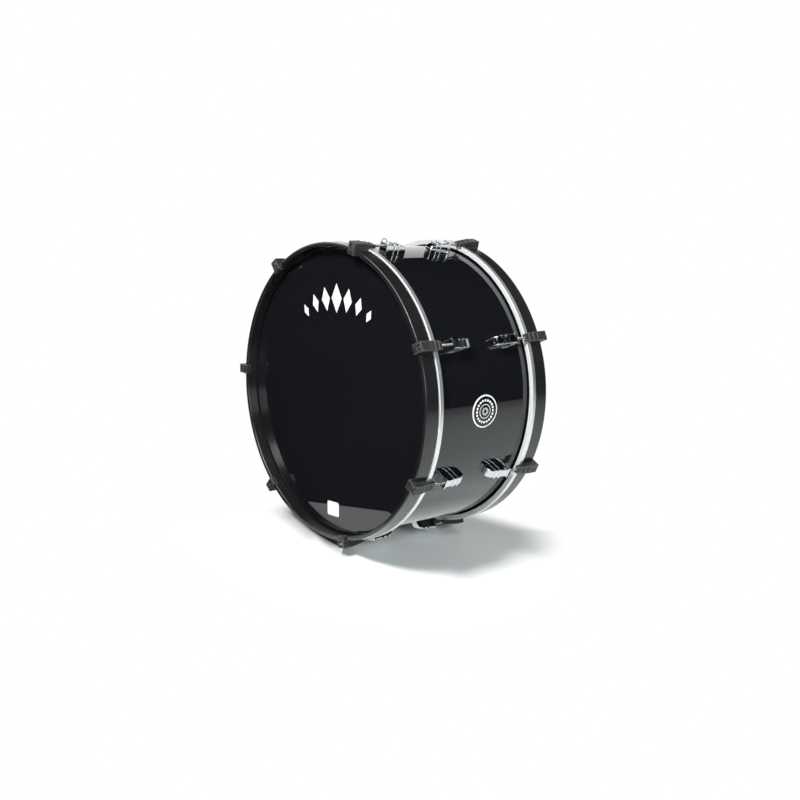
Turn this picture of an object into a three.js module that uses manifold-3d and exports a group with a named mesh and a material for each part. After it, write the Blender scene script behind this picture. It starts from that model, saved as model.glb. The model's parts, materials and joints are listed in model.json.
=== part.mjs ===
// Marching bass drum: a black shell between two tuned heads, in millimetres.
// The drum's axis is Y, its front head faces -Y, +Z is up, and it stands at z = 0 on its rims.
import * as THREE from 'three';
import { mergeVertices } from 'three/addons/utils/BufferGeometryUtils.js';
import Module from 'manifold-3d';

const wasm = await Module();
wasm.setup();

// Counts: tension points around each head, and facets on the round parts
const tensionPoints = 7;
const facetsPerPoint = 8;
const facets = tensionPoints * facetsPerPoint;
const screwSides = 6;
const rodSides = 10;
const grommetSides = 16;
const badgeSides = 32;
const crownSteps = 4;

// Clearance between pieces that touch, and how far a cutting tool runs past its work
const seatGap = 0.3;
const overrun = 1.5;

// Shell: a 26 inch by 12 inch laminated wooden cylinder
const shellRadius = 330;
const shellWall = 8;
const shellDepth = 305;
const edgeRound = 3;
const edgeBevel = 4.5;

// Head film, drawn over the shell's edge and down its outside
const filmThickness = 0.6;
const collarShares = { slantStart: 0.2, slantEnd: 0.68, tail: 0.95 };

// Flesh hoop: the aluminium ring that grips the film, a little proud of the counter hoop
const fleshProud = 2.5;
const fleshDepth = 10.3;
const fleshBelowEdge = 7.5;
const fleshChamfer = 1.2;

// Counter hoop: the wooden rim that pulls the flesh hoop down
const hoopFit = 2.1;
const hoopWall = 10;
const hoopDepth = 36.5;
const hoopChamfer = 1.5;

// Tension rod: threaded shank, flange and square key head
const rodRadius = 3;
const rodFlangeStep = 2;
const rodFlangeThickness = 1.8;
const rodKeyShare = 0.6;
const rodKeyLength = 6.2;
const rodInLug = 28;

// Claw: hooks over the counter hoop and carries the rod's head
const clawWidth = 21;
const clawTipWidth = 13;
const clawTipReach = 8.6;
const clawFrontPlate = 6;
const clawFloor = 0.8;
const clawCrownWall = 4.3;
const clawTipWall = 1.5;
const clawFlatShare = 0.45;
const clawParallelShare = 0.68;
const clawHookThickness = 2;
const clawHookDrop = 6;
const clawCorner = 2;
const clawRecessClearance = 0.7;
const clawRecessSpare = 0.7;
const clawBoreClearance = 0.5;
const clawWeb = 4.6;
const clawChannelClearance = 0.9;

// Lug: the threaded casting on the shell
const lugEndShare = 0.72;
const lugLength = 60;
const lugWidth = 20;
const lugWall = 3.2;
const lugCrownShare = 0.55;
const lugNoseHeight = 2;
const lugPlateWidth = 25;
const lugPlateThickness = 4;
const lugPlateStep = 0.8;
const lugRibHeight = 0.9;
const lugRibLength = 3.4;
const lugRibPlaceShares = [0.44, 0.66];
const lugBoreClearance = 0.3;
const lugBoreSpare = 3;
const lugScrewRadius = 2.5;
const lugScrewHeadRadius = 5;
const lugScrewHeadThickness = 3;
const lugScrewInset = 10;
const screwHoleClearance = 0.3;

// Badge and vent, half way between two lugs
const badgeRadius = 37.5;
const badgeThickness = 1;
const badgeSlot = 1.5;
const ventBoreRadius = 4;
const ventBarrelRadius = 6;
const ventFlangeRadius = 9;
const ventFlangeThickness = 1.2;
const ventNutRadius = 9.5;
const ventNutThickness = 3;
const ventBarrelSpare = 1;

// Sling eyelets: an eye bolt with a loose ring in it
const eyeFlangeRadius = 5;
const eyeFlangeThickness = 1.5;
const eyeLoopRadius = 4.4;
const eyeWireRadius = 1.2;
const eyeLoopLift = 0.6;
const eyeShankRadius = 2.2;
const eyeShankSpare = 2;
const eyeNutRadius = 6;
const eyeNutThickness = 4;
const ringRadius = 8.2;
const ringWireRadius = 0.9;
const wireSides = 6;
const eyeLoopSteps = 14;
const ringSteps = 18;
const centreEyeletAngle = -17.8;
const frontEyeletAngle = -29.9;
const frontEyeletClearance = 0.9;

// Places that follow from the sizes above
const stationStep = 360 / tensionPoints;
const facetStep = 360 / facets;
const shellInnerRadius = shellRadius - shellWall;
const shellEnd = shellDepth / 2;
const fleshInnerEnd = shellEnd - fleshBelowEdge - fleshDepth;
const fleshOuterEnd = fleshInnerEnd + fleshDepth;
const hoopInnerEnd = fleshOuterEnd + seatGap;
const rimPlane = hoopInnerEnd + hoopDepth;
const filmInnerRadius = shellRadius + seatGap;
const filmOuterRadius = filmInnerRadius + filmThickness;
const hoopInnerRadius = filmOuterRadius + hoopFit;
const hoopRadius = hoopInnerRadius + hoopWall;
const collarOuterRadius = hoopInnerRadius + filmThickness;
const fleshInnerRadius = collarOuterRadius + seatGap;
const fleshRadius = hoopRadius + fleshProud;
const rodFlangeRadius = rodRadius + rodFlangeStep;
const rodKeySquare = rodFlangeRadius * 2 * rodKeyShare;
const clawRecessRadius = rodFlangeRadius + clawRecessClearance;
const rodAxisRadius = hoopRadius + clawFloor + clawRecessRadius;
const clawFront = rimPlane + seatGap + clawFrontPlate;
const clawTip = fleshInnerEnd - clawTipReach;
const clawLength = clawFront - clawTip;
const recessFloor = clawFront - clawRecessSpare - rodKeyLength - rodFlangeThickness - seatGap;
const lugEnd = fleshInnerEnd * lugEndShare;
const lugNose = lugEnd - lugLength;
const lugCrown = rodRadius + lugBoreClearance + lugWall;
const lugCrownLength = lugLength * lugCrownShare;
const lugScrewPlaces = [lugEnd - lugScrewInset, lugNose + lugScrewInset];

// A ring with flat facets comes nearest to the axis half way along each facet
const flatShare = Math.cos(Math.PI / facets);
const flat = (radius) => radius * flatShare;
const lugSeat = flat(shellRadius) + seatGap;
const axisHeight = flat(fleshRadius);

const materials = {
  shell: { color: 0x121318, roughness: 0.08, metalness: 0 },
  hoop: { color: 0x1c1c1f, roughness: 0.35, metalness: 0 },
  film: { color: 0x15161a, roughness: 0.15, metalness: 0 },
  aluminium: { color: 0xcfd0d0, roughness: 0.35, metalness: 1 },
  claw: { color: 0x2f3031, roughness: 0.6, metalness: 0.3 },
  steel: { color: 0xb9bab8, roughness: 0.25, metalness: 1 },
  chrome: { color: 0xdfe2e6, roughness: 0.08, metalness: 1 },
  badge: { color: 0xe8e8e6, roughness: 0.3, metalness: 0 },
};

// Closed mesh to solid: positions only, shared corners merged, collapsed triangles left out
function toSolid(geometry) {
  const bare = geometry.clone();
  bare.deleteAttribute('normal');
  bare.deleteAttribute('uv');
  const merged = mergeVertices(bare);
  const corners = [];
  const index = merged.index.array;
  for (let i = 0; i < index.length; i += 3) {
    const [a, b, c] = [index[i], index[i + 1], index[i + 2]];
    if (a !== b && b !== c && c !== a) corners.push(a, b, c);
  }
  const vertProperties = new Float32Array(merged.attributes.position.array);
  return new wasm.Manifold(new wasm.Mesh({ numProp: 3, vertProperties, triVerts: new Uint32Array(corners) }));
}

function toGeometry(solid) {
  const mesh = solid.getMesh();
  const geometry = new THREE.BufferGeometry();
  geometry.setAttribute('position', new THREE.BufferAttribute(mesh.vertProperties, 3));
  geometry.setIndex(new THREE.BufferAttribute(mesh.triVerts, 1));
  geometry.computeVertexNormals();
  return geometry;
}

const join = (first, ...others) => others.reduce((solid, other) => solid.add(other), first);
const cut = (first, ...others) => others.reduce((solid, other) => solid.subtract(other), first);

function addPiece(parent, name, geometry, material) {
  const mesh = new THREE.Mesh(geometry, new THREE.MeshStandardMaterial(materials[material]));
  mesh.name = name;
  parent.add(mesh);
  return mesh;
}

// A ring or disc about the drum's axis, from [radius, place along the axis] corners
function turned(profile) {
  const points = profile.map(([radius, place]) => new THREE.Vector2(radius, place));
  return new THREE.LatheGeometry(points, facets, Math.PI / facets);
}

// An outline of [place along the axis, radius] corners, made as wide as width and centred
function slab(outline, width) {
  const shape = new THREE.Shape(outline.map(([place, radius]) => new THREE.Vector2(place, radius)));
  const geometry = new THREE.ExtrudeGeometry(shape, { depth: width, bevelEnabled: false });
  geometry.translate(0, 0, -width / 2);
  const alongX = new THREE.Vector3(1, 0, 0);
  const alongY = new THREE.Vector3(0, 1, 0);
  const alongZ = new THREE.Vector3(0, 0, 1);
  geometry.applyMatrix4(new THREE.Matrix4().makeBasis(alongY, alongZ, alongX));
  return geometry;
}

function block(width, from, to, bottom, top) {
  const geometry = new THREE.BoxGeometry(width, to - from, top - bottom);
  return geometry.translate(0, (from + to) / 2, (bottom + top) / 2);
}

// A rod along the drum's axis at the height of the tension rods
function axialPin(radius, from, to, sides) {
  const geometry = new THREE.CylinderGeometry(radius, radius, to - from, sides);
  return geometry.translate(0, (from + to) / 2, rodAxisRadius);
}

// A pin that stands square to the shell, at a place along the axis
function radialPin(radius, from, to, place, sides) {
  const geometry = new THREE.CylinderGeometry(radius, radius, to - from, sides);
  geometry.rotateX(Math.PI / 2);
  return geometry.translate(0, place, (from + to) / 2);
}

// The same geometry carried round the drum to an angle from the top
const atAngle = (geometry, angle) => geometry.rotateY(THREE.MathUtils.degToRad(angle));

function arc(centre, radius, fromAngle, toAngle, steps) {
  const corners = [];
  for (let i = 0; i <= steps; i += 1) {
    const angle = THREE.MathUtils.degToRad(fromAngle + ((toAngle - fromAngle) * i) / steps);
    corners.push([centre[0] + radius * Math.cos(angle), centre[1] + radius * Math.sin(angle)]);
  }
  return corners;
}

// An eyelet stands square on the facet under it: the facet's angle, and the shift along it
function eyeletSeat(eyelet) {
  const facetAngle = Math.round(eyelet.angle / facetStep) * facetStep;
  const shift = flat(shellRadius) * Math.tan(THREE.MathUtils.degToRad(eyelet.angle - facetAngle));
  return { facetAngle, shift };
}

// A ring rests on the foot of its loop, and leans until it meets the loop's upper wire
const eyeHeight = eyeLoopRadius + eyeWireRadius + eyeLoopLift;
const ringReach = ringRadius + ringWireRadius + eyeWireRadius + seatGap;
const ringLimit = ringRadius - ringWireRadius - eyeWireRadius - seatGap;
const leanSine = (ringReach ** 2 + 4 * eyeLoopRadius ** 2 - ringLimit ** 2) / (4 * ringReach * eyeLoopRadius);
const leanLimit = THREE.MathUtils.radToDeg(Math.asin(leanSine));

const eyelets = {
  centre: { angle: centreEyeletAngle, place: 0, turn: 0, lean: leanLimit },
  front: {
    angle: frontEyeletAngle,
    place: frontEyeletClearance + eyeFlangeRadius - fleshInnerEnd,
    turn: 90,
    lean: 90,
  },
};
const badgeAngle = stationStep * 1.5;

// Shell: closed ring with a rounded outer edge and a bevelled inner edge, and all its drilled holes
function makeShell() {
  const roundCentre = shellRadius - edgeRound;
  const high = arc([roundCentre, shellEnd - edgeRound], edgeRound, 0, 90, 2);
  const low = arc([roundCentre, edgeRound - shellEnd], edgeRound, 270, 360, 2);
  const innerHigh = [shellInnerRadius, shellEnd - edgeBevel];
  const innerLow = [shellInnerRadius, edgeBevel - shellEnd];
  let shell = toSolid(turned([...low, ...high, innerHigh, innerLow, low[0]]));
  const from = flat(shellInnerRadius) - overrun;
  const to = shellRadius + overrun;
  const drill = (pinRadius, sides, place, angle, shift = 0) => {
    const tool = radialPin(pinRadius + screwHoleClearance, from, to, place, sides).translate(shift, 0, 0);
    shell = cut(shell, toSolid(atAngle(tool, angle)));
  };
  for (let station = 0; station < tensionPoints; station += 1) {
    for (const place of lugScrewPlaces) {
      drill(lugScrewRadius, screwSides, place, station * stationStep);
      drill(lugScrewRadius, screwSides, -place, station * stationStep);
    }
  }
  for (const eyelet of Object.values(eyelets)) {
    const { facetAngle, shift } = eyeletSeat(eyelet);
    drill(eyeShankRadius, rodSides, eyelet.place, facetAngle, shift);
  }
  drill(ventBarrelRadius, grommetSides, 0, badgeAngle);
  return toGeometry(shell);
}

// Film head: a flat disc that turns over the shell's edge and runs down inside the hoops
function makeFilm() {
  const centre = [shellRadius - edgeRound, edgeRound - shellEnd];
  const outer = arc(centre, edgeRound + seatGap + filmThickness, 270, 360, 2);
  const inner = arc(centre, edgeRound + seatGap, 360, 270, 2);
  const slantStart = fleshDepth * collarShares.slantStart - fleshOuterEnd;
  const slantEnd = fleshDepth * collarShares.slantEnd - fleshOuterEnd;
  const tail = fleshDepth * collarShares.tail - fleshOuterEnd;
  return turned([
    [0, outer[0][1]],
    ...outer,
    [filmOuterRadius, slantStart],
    [collarOuterRadius, slantEnd],
    [collarOuterRadius, tail],
    [collarOuterRadius - filmThickness, tail],
    [collarOuterRadius - filmThickness, slantEnd],
    [filmInnerRadius, slantStart],
    ...inner,
    [0, inner[inner.length - 1][1]],
  ]);
}

function makeFleshHoop() {
  const low = -fleshOuterEnd;
  const high = -fleshInnerEnd;
  return turned([
    [fleshInnerRadius, low],
    [fleshRadius, low],
    [fleshRadius, high - fleshChamfer],
    [fleshRadius - fleshChamfer, high],
    [fleshInnerRadius, high],
    [fleshInnerRadius, low],
  ]);
}

function makeCounterHoop() {
  return turned([
    [hoopInnerRadius, hoopChamfer - rimPlane],
    [hoopInnerRadius + hoopChamfer, -rimPlane],
    [hoopRadius - hoopChamfer, -rimPlane],
    [hoopRadius, hoopChamfer - rimPlane],
    [hoopRadius, -hoopInnerEnd],
    [hoopInnerRadius, -hoopInnerEnd],
    [hoopInnerRadius, hoopChamfer - rimPlane],
  ]);
}

// Claw: side outline and plan outline cross each other, then the recess, bore and channel are cut
function makeClaw() {
  const hookOuter = flat(hoopInnerRadius) - seatGap;
  const hookInner = hookOuter - clawHookThickness;
  const onHoop = flat(hoopRadius) + seatGap;
  const onFlesh = flat(fleshRadius) + seatGap;
  const crown = rodAxisRadius + clawRecessRadius + clawCrownWall;
  const flatEnd = clawLength * clawFlatShare - clawFront;
  const parallelEnd = clawLength * clawParallelShare - clawFront;
  const body = toSolid(slab([
    [-clawFront, hookInner + clawCorner],
    [-clawFront + clawCorner, hookInner],
    [clawHookDrop - rimPlane, hookInner],
    [clawHookDrop - rimPlane, hookOuter],
    [-rimPlane - seatGap, hookOuter],
    [-rimPlane - seatGap, onHoop],
    [-fleshOuterEnd - seatGap, onHoop],
    [-fleshOuterEnd - seatGap, onFlesh],
    [-clawTip, onFlesh],
    [-clawTip, rodAxisRadius + rodRadius + clawTipWall],
    [flatEnd, crown],
    [-clawFront + clawCorner, crown],
    [-clawFront, crown - clawCorner],
  ], clawWidth));
  const half = clawWidth / 2;
  const tipHalf = clawTipWidth / 2;
  const plan = new THREE.Shape([
    new THREE.Vector2(-half, -clawFront - overrun),
    new THREE.Vector2(half, -clawFront - overrun),
    new THREE.Vector2(half, parallelEnd),
    new THREE.Vector2(tipHalf, overrun - clawTip),
    new THREE.Vector2(-tipHalf, overrun - clawTip),
    new THREE.Vector2(-half, parallelEnd),
  ]);
  const depth = crown - hookInner + overrun * 2;
  const planGeometry = new THREE.ExtrudeGeometry(plan, { depth, bevelEnabled: false });
  planGeometry.translate(0, 0, hookInner - overrun);
  const recess = axialPin(clawRecessRadius, -clawFront - overrun, -recessFloor, rodSides);
  const bore = axialPin(rodRadius + clawBoreClearance, -clawFront, clawWeb + overrun - recessFloor, rodSides);
  const channelHalf = rodRadius + clawChannelClearance;
  const channelTop = rodAxisRadius + channelHalf;
  const channel = block(channelHalf * 2, clawWeb - recessFloor, overrun - clawTip, onHoop - overrun, channelTop);
  const outlined = body.intersect(toSolid(planGeometry));
  return toGeometry(cut(outlined, toSolid(recess), toSolid(bore), toSolid(channel)));
}

// Tension rod: one shank from the lug to the claw, with its flange and square head
function makeTensionRod() {
  const underFlange = -recessFloor - seatGap;
  const overFlange = underFlange - rodFlangeThickness;
  const shank = axialPin(rodRadius, underFlange - rodFlangeThickness / 2, rodInLug - lugEnd, rodSides);
  const flange = axialPin(rodFlangeRadius, overFlange, underFlange, rodSides);
  const key = block(
    rodKeySquare,
    overFlange - rodKeyLength,
    overFlange + rodFlangeThickness / 2,
    rodAxisRadius - rodKeySquare / 2,
    rodAxisRadius + rodKeySquare / 2,
  );
  return toGeometry(join(toSolid(flange), toSolid(shank), toSolid(key)));
}

// Height of the lug's outer face at a place along the axis
function lugTop(place) {
  const top = rodAxisRadius + lugCrown;
  const low = lugSeat + lugNoseHeight;
  const along = (lugEnd - lugCrownLength - place) / (lugLength - lugCrownLength);
  return along <= 0 ? top : low + (top - low) * Math.sqrt(Math.max(0, 1 - along * along));
}

// Lug: arched casting with an end plate, two ribs, the rod's bore and its two mounting screws
function makeLug() {
  const top = rodAxisRadius + lugCrown;
  const bendAt = lugEnd - lugCrownLength;
  const outline = [[-lugNose, lugSeat], [-lugEnd, lugSeat], [-lugEnd, top]];
  for (let step = 0; step <= crownSteps; step += 1) {
    const angle = ((Math.PI / 2) * step) / crownSteps;
    const place = bendAt - (lugLength - lugCrownLength) * Math.sin(angle);
    outline.push([-place, lugTop(place)]);
  }
  const pieces = [toSolid(slab(outline.reverse(), lugWidth))];
  const plateTop = top + lugPlateStep;
  pieces.push(toSolid(block(lugPlateWidth, -lugEnd, lugPlateThickness - lugEnd, lugSeat, plateTop)));
  for (const share of lugRibPlaceShares) {
    const place = lugEnd - lugLength * share;
    const [from, to] = [-place - lugRibLength / 2, -place + lugRibLength / 2];
    pieces.push(toSolid(block(lugWidth + lugRibHeight * 2, from, to, lugSeat, lugTop(place) + lugRibHeight)));
  }
  const wallInside = flat(shellInnerRadius) - seatGap;
  for (const place of lugScrewPlaces) {
    const overlap = lugScrewHeadThickness / 2;
    const headEnd = wallInside - lugScrewHeadThickness;
    pieces.push(toSolid(radialPin(lugScrewRadius, headEnd + overlap, lugSeat + overlap, -place, screwSides)));
    pieces.push(toSolid(radialPin(lugScrewHeadRadius, headEnd, wallInside, -place, screwSides)));
  }
  const boreRadius = rodRadius + lugBoreClearance;
  const bore = axialPin(boreRadius, -lugEnd - overrun, rodInLug + lugBoreSpare - lugEnd, rodSides);
  return toGeometry(cut(join(...pieces), toSolid(bore)));
}

// Badge: a thin round plate bent to the shell, with a hole for the vent
function makeBadge() {
  const inner = shellRadius + seatGap;
  const outer = inner + badgeThickness;
  const reach = badgeRadius + overrun;
  const band = turned([[inner, -reach], [outer, -reach], [outer, reach], [inner, reach], [inner, -reach]]);
  const from = shellInnerRadius;
  const to = shellRadius + shellWall;
  const disc = atAngle(radialPin(badgeRadius, from, to, 0, badgeSides), badgeAngle);
  const hole = atAngle(radialPin(ventBarrelRadius + badgeSlot, from, to, 0, grommetSides), badgeAngle);
  return toGeometry(toSolid(band).intersect(toSolid(disc)).subtract(toSolid(hole)));
}

// Vent grommet: flange on the badge and a barrel through the shell
function makeGrommet() {
  const seat = flat(shellRadius + seatGap + badgeThickness) + seatGap;
  const barrelEnd = flat(shellInnerRadius) - seatGap - ventNutThickness - ventBarrelSpare;
  const flange = radialPin(ventFlangeRadius, seat, seat + ventFlangeThickness, 0, grommetSides);
  const barrel = radialPin(ventBarrelRadius, barrelEnd, seat + ventFlangeThickness / 2, 0, grommetSides);
  const bore = radialPin(ventBoreRadius, barrelEnd - overrun, seat + ventFlangeThickness + overrun, 0, grommetSides);
  return toGeometry(cut(join(toSolid(flange), toSolid(barrel)), toSolid(bore)));
}

// A flat nut inside the shell, round a shank or barrel
function makeNut(outerRadius, shankRadius, thickness, sides) {
  const high = flat(shellInnerRadius) - seatGap;
  const low = high - thickness;
  const body = radialPin(outerRadius, low, high, 0, sides);
  const hole = radialPin(shankRadius + screwHoleClearance, low - overrun, high + overrun, 0, screwSides * 2);
  return toGeometry(cut(toSolid(body), toSolid(hole)));
}

// Eye bolt: a wire loop on a round flange, with a shank through the shell
function makeEyeBolt() {
  const seat = flat(shellRadius) + seatGap;
  const centre = flat(shellRadius) + eyeHeight;
  const shankEnd = flat(shellInnerRadius) - seatGap - eyeNutThickness - eyeShankSpare;
  const loop = new THREE.TorusGeometry(eyeLoopRadius, eyeWireRadius, wireSides, eyeLoopSteps);
  loop.rotateX(Math.PI / 2).translate(0, 0, centre);
  const flange = radialPin(eyeFlangeRadius, seat, seat + eyeFlangeThickness, 0, rodSides);
  const shank = radialPin(eyeShankRadius, shankEnd, seat + eyeFlangeThickness / 2, 0, rodSides);
  return toGeometry(join(toSolid(flange), toSolid(shank), toSolid(loop)));
}

// Loose ring: it reaches towards -Y from the wire at the foot of the loop, which is the group's origin
function makeRing() {
  const ring = new THREE.TorusGeometry(ringRadius, ringWireRadius, wireSides, ringSteps);
  return ring.rotateY(Math.PI / 2).translate(0, -ringReach, 0);
}

const drum = new THREE.Group();
drum.position.z = axisHeight;

addPiece(drum, 'shell', makeShell(), 'shell');
const film = makeFilm();
const fleshHoop = makeFleshHoop();
const counterHoop = makeCounterHoop();
const claw = makeClaw();
const tensionRod = makeTensionRod();
const lug = makeLug();

// The two ends are alike, the back one turned half way round the vertical
for (const [side, turn] of [['front', 0], ['back', Math.PI]]) {
  const end = new THREE.Group();
  end.rotation.z = turn;
  drum.add(end);
  addPiece(end, `head_${side}`, film, 'film');
  addPiece(end, `flesh_hoop_${side}`, fleshHoop, 'aluminium');
  addPiece(end, `counter_hoop_${side}`, counterHoop, 'hoop');
  for (let station = 0; station < tensionPoints; station += 1) {
    const place = new THREE.Group();
    const angle = THREE.MathUtils.degToRad(station * stationStep);
    place.rotation.y = turn ? -angle : angle;
    end.add(place);
    addPiece(place, `claw_${side}_${station + 1}`, claw, 'claw');
    addPiece(place, `tension_rod_${side}_${station + 1}`, tensionRod, 'steel');
    addPiece(place, `lug_${side}_${station + 1}`, lug, 'chrome');
  }
}

addPiece(drum, 'badge', makeBadge(), 'badge');
const vent = new THREE.Group();
vent.rotation.y = THREE.MathUtils.degToRad(badgeAngle);
drum.add(vent);
addPiece(vent, 'vent_grommet', makeGrommet(), 'chrome');
addPiece(vent, 'vent_nut', makeNut(ventNutRadius, ventBarrelRadius, ventNutThickness, 6), 'steel');

for (const [name, eyelet] of Object.entries(eyelets)) {
  const { facetAngle, shift } = eyeletSeat(eyelet);
  const facet = new THREE.Group();
  facet.rotation.y = THREE.MathUtils.degToRad(facetAngle);
  drum.add(facet);
  const bolt = new THREE.Group();
  bolt.position.set(shift, eyelet.place, 0);
  bolt.rotation.z = THREE.MathUtils.degToRad(eyelet.turn);
  facet.add(bolt);
  addPiece(bolt, `eye_bolt_${name}`, makeEyeBolt(), 'steel');
  addPiece(bolt, `eye_nut_${name}`, makeNut(eyeNutRadius, eyeShankRadius, eyeNutThickness, 6), 'steel');
  const swing = new THREE.Group();
  swing.position.z = flat(shellRadius) + eyeHeight - eyeLoopRadius;
  swing.rotation.x = -THREE.MathUtils.degToRad(eyelet.lean);
  bolt.add(swing);
  addPiece(swing, `sling_ring_${name}`, makeRing(), 'steel');
}

export default drum;
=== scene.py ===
# %% [markdown]
# # A marching bass drum
#
# The drum is a lacquered wooden shell between two film heads. Each head is gripped by a bright flesh hoop,
# and a black counter hoop presses that down, drawn by seven claws and tension rods to seven lugs on the
# shell.
#
# The construction comes from the CAD frame. This notebook only gives it its looks: smooth round pieces in
# place of faceted ones, threads, prints, finishes, and the studio that a gloss black object needs.

# %% Load the frame
import json
import math

import bmesh
import bpy
from mathutils import Matrix, Vector


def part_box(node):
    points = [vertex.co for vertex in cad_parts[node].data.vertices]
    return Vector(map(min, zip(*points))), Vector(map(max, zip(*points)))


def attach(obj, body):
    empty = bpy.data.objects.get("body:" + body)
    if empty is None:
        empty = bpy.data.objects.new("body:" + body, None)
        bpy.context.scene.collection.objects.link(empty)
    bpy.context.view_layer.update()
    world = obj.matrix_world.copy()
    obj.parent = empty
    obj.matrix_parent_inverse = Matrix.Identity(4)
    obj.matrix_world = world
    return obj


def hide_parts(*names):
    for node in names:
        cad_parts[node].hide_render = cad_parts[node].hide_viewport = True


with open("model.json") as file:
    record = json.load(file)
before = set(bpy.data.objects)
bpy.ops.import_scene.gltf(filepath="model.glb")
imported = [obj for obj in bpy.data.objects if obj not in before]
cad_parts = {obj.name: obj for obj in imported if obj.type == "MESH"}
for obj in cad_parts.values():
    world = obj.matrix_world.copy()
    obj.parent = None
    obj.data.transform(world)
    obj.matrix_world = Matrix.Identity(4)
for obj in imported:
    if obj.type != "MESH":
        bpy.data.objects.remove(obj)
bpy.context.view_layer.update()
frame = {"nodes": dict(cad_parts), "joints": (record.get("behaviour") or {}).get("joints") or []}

# %% [markdown]
# ## Sizes read from the frame
#
# Everything round on this drum shares one axis, so a few radii and places along that axis say where each
# piece goes. They are measured on the CAD pieces and never typed again. The CAD rings have 56 flat facets,
# and the middle of a facet touches the box, so the true radius is a little more than half the box.

# %% Sizes of the drum
MM = 0.001
FACETS = 56
POINTS = 7
STATION = 2 * math.pi / POINTS
FACET_SHARE = math.cos(math.pi / FACETS)
SIDES = (("front", 1), ("back", -1))


def ring_radius(node):
    low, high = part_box(node)
    return (high.x - low.x) / 2 / FACET_SHARE


def places(node):
    """Nearest and farthest place of a front piece along the axis, counted from the drum's middle."""
    low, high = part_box(node)
    return -high.y, -low.y


shell_low, shell_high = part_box("shell")
AXIS_HEIGHT = (shell_low.z + shell_high.z) / 2
SHELL_RADIUS = ring_radius("shell")
SHELL_END = shell_high.y
HOOP_RADIUS = ring_radius("counter_hoop_front")
HOOP_START, RIM = places("counter_hoop_front")
FLESH_RADIUS = ring_radius("flesh_hoop_front")
FLESH_START, FLESH_END = places("flesh_hoop_front")
CLAW_TIP, CLAW_FRONT = places("claw_front_1")
LUG_NOSE, LUG_END = places("lug_front_1")
ROD_END, ROD_FRONT = places("tension_rod_front_1")
rod_low, rod_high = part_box("tension_rod_front_1")
ROD_AXIS = (rod_low.z + rod_high.z) / 2 - AXIS_HEIGHT
drum_centre = Vector((0, 0, AXIS_HEIGHT))
to_centre = Matrix.Translation(drum_centre)
print(f"shell {SHELL_RADIUS * 2000:.0f} x {SHELL_END * 2000:.0f} mm, rod axis at {ROD_AXIS * 1000:.1f} mm")

# %% [markdown]
# ## Small tools
#
# A handful of helpers keep the cells short. One adds any kind of node with its settings and links, for
# materials and Geometry Nodes alike. The others turn a bmesh into an object, bake modifiers into a plain
# mesh, and dress a finished piece: its material, the body it rides on and the CAD pieces it stands for,
# which it hides.


# %% Helpers for nodes and colours
def feed(socket, source):
    """Sets an input to a value, or links it to an output. A node stands for its first enabled output."""
    if isinstance(source, bpy.types.Node):
        source = next(output for output in source.outputs if output.enabled)
    if isinstance(source, bpy.types.NodeSocket):
        socket.id_data.links.new(source, socket)
    else:
        socket.default_value = source


def add(tree, kind, inputs=None, **settings):
    """Adds a node with its settings, and feeds its inputs."""
    node = tree.nodes.new(kind)
    for name, value in settings.items():
        setattr(node, name, value)
    for socket, source in (inputs or {}).items():
        feed(node.inputs[socket], source)
    return node


def linear(colour):
    """A hex colour, as a picture shows it, turned into the linear light that shaders use."""
    parts = [int(colour[i:i + 2], 16) / 255 for i in (1, 3, 5)]
    return (*[p / 12.92 if p <= 0.04045 else ((p + 0.055) / 1.055) ** 2.4 for p in parts], 1.0)


def per(millimetres):
    """The scale of a texture whose features are that far apart."""
    return 1 / (millimetres * MM)


# %% Helpers for objects
def in_scene(name, data):
    """A new object at the origin, with this mesh, camera or lamp."""
    made = bpy.data.objects.new(name, data)
    bpy.context.scene.collection.objects.link(made)
    return made


def piece_from(bm, name, moved_by=None):
    """A piece with this bmesh for its mesh, its faces turned outwards."""
    if moved_by is not None:
        bmesh.ops.transform(bm, matrix=moved_by, verts=bm.verts)
    bmesh.ops.recalc_face_normals(bm, faces=bm.faces)
    mesh = bpy.data.meshes.new(name)
    bm.to_mesh(mesh)
    bm.free()
    return in_scene(name, mesh)


def bake(piece):
    """Turns what the modifiers make into the piece's own mesh."""
    evaluated = piece.evaluated_get(bpy.context.evaluated_depsgraph_get())
    mesh = bpy.data.meshes.new_from_object(evaluated)
    piece.modifiers.clear()
    piece.data = mesh
    return piece


def dress(piece, material, slot, *nodes, body="drum_body"):
    piece.data.materials.clear()
    piece.data.materials.append(material)
    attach(piece, body)
    if nodes:
        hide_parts(*nodes)
    return piece


# %% Helpers that change a piece
def modify(piece, kind, **settings):
    modifier = piece.modifiers.new(kind.lower(), kind)
    for name, value in settings.items():
        setattr(modifier, name, value)
    return bake(piece)


def round_edges(piece, width, segments, angle):
    """Rounds the edges that are sharper than that angle in degrees."""
    return modify(
        piece, "BEVEL", width=width, segments=segments, limit_method="ANGLE", angle_limit=math.radians(angle))


def combine(piece, operation, *tools):
    """Joins or cuts a piece with closed tools, which are used up."""
    for tool in tools:
        modify(piece, "BOOLEAN", operation=operation, solver="EXACT", object=tool)
        bpy.data.objects.remove(tool)
    return piece


def soften(piece):
    """Smooth shading up to 35 degrees, led by the large faces so that flats stay flat."""
    piece.data.shade_smooth()
    piece.data.set_sharp_from_angle(angle=math.radians(35))
    return modify(piece, "WEIGHTED_NORMAL", keep_sharp=True)


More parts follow.
